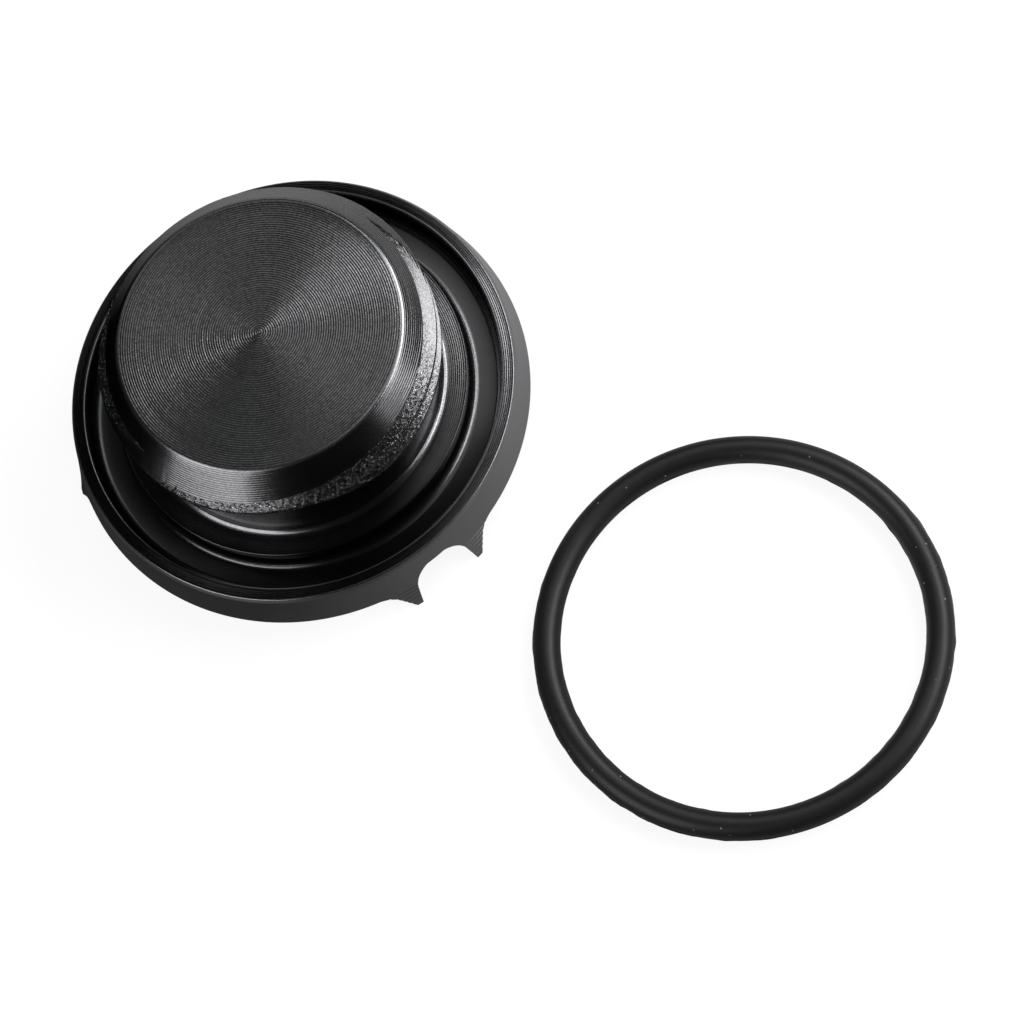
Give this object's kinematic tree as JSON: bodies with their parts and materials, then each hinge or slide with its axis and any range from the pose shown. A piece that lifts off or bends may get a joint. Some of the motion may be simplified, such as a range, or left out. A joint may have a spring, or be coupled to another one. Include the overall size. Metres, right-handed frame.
{
  "type": "oil filler cap with its seal ring",
  "caption": "Turned black aluminium oil filler cap standing on its grip face, threaded plug up, seal groove empty and its rubber O-ring lying beside it.",
  "frame": {"origin": "centre of the flat grip face that the cap stands on, on the cap's own axis", "axes": "+Z along the cap's axis towards the end of the threaded plug, -Y through the middle of one pair of finger ears, seal ring on the floor towards -Y and +X"},
  "size_m": [0.0757, 0.1128, 0.025],
  "materials": {
    "cap_metal": "black anodised over fine turning lines",
    "seal_rubber": "matt black moulded rubber"
  },
  "bodies": {
    "root": {"cap_body": "cap_metal", "o_ring": "seal_rubber"}
  },
  "joints": []
}
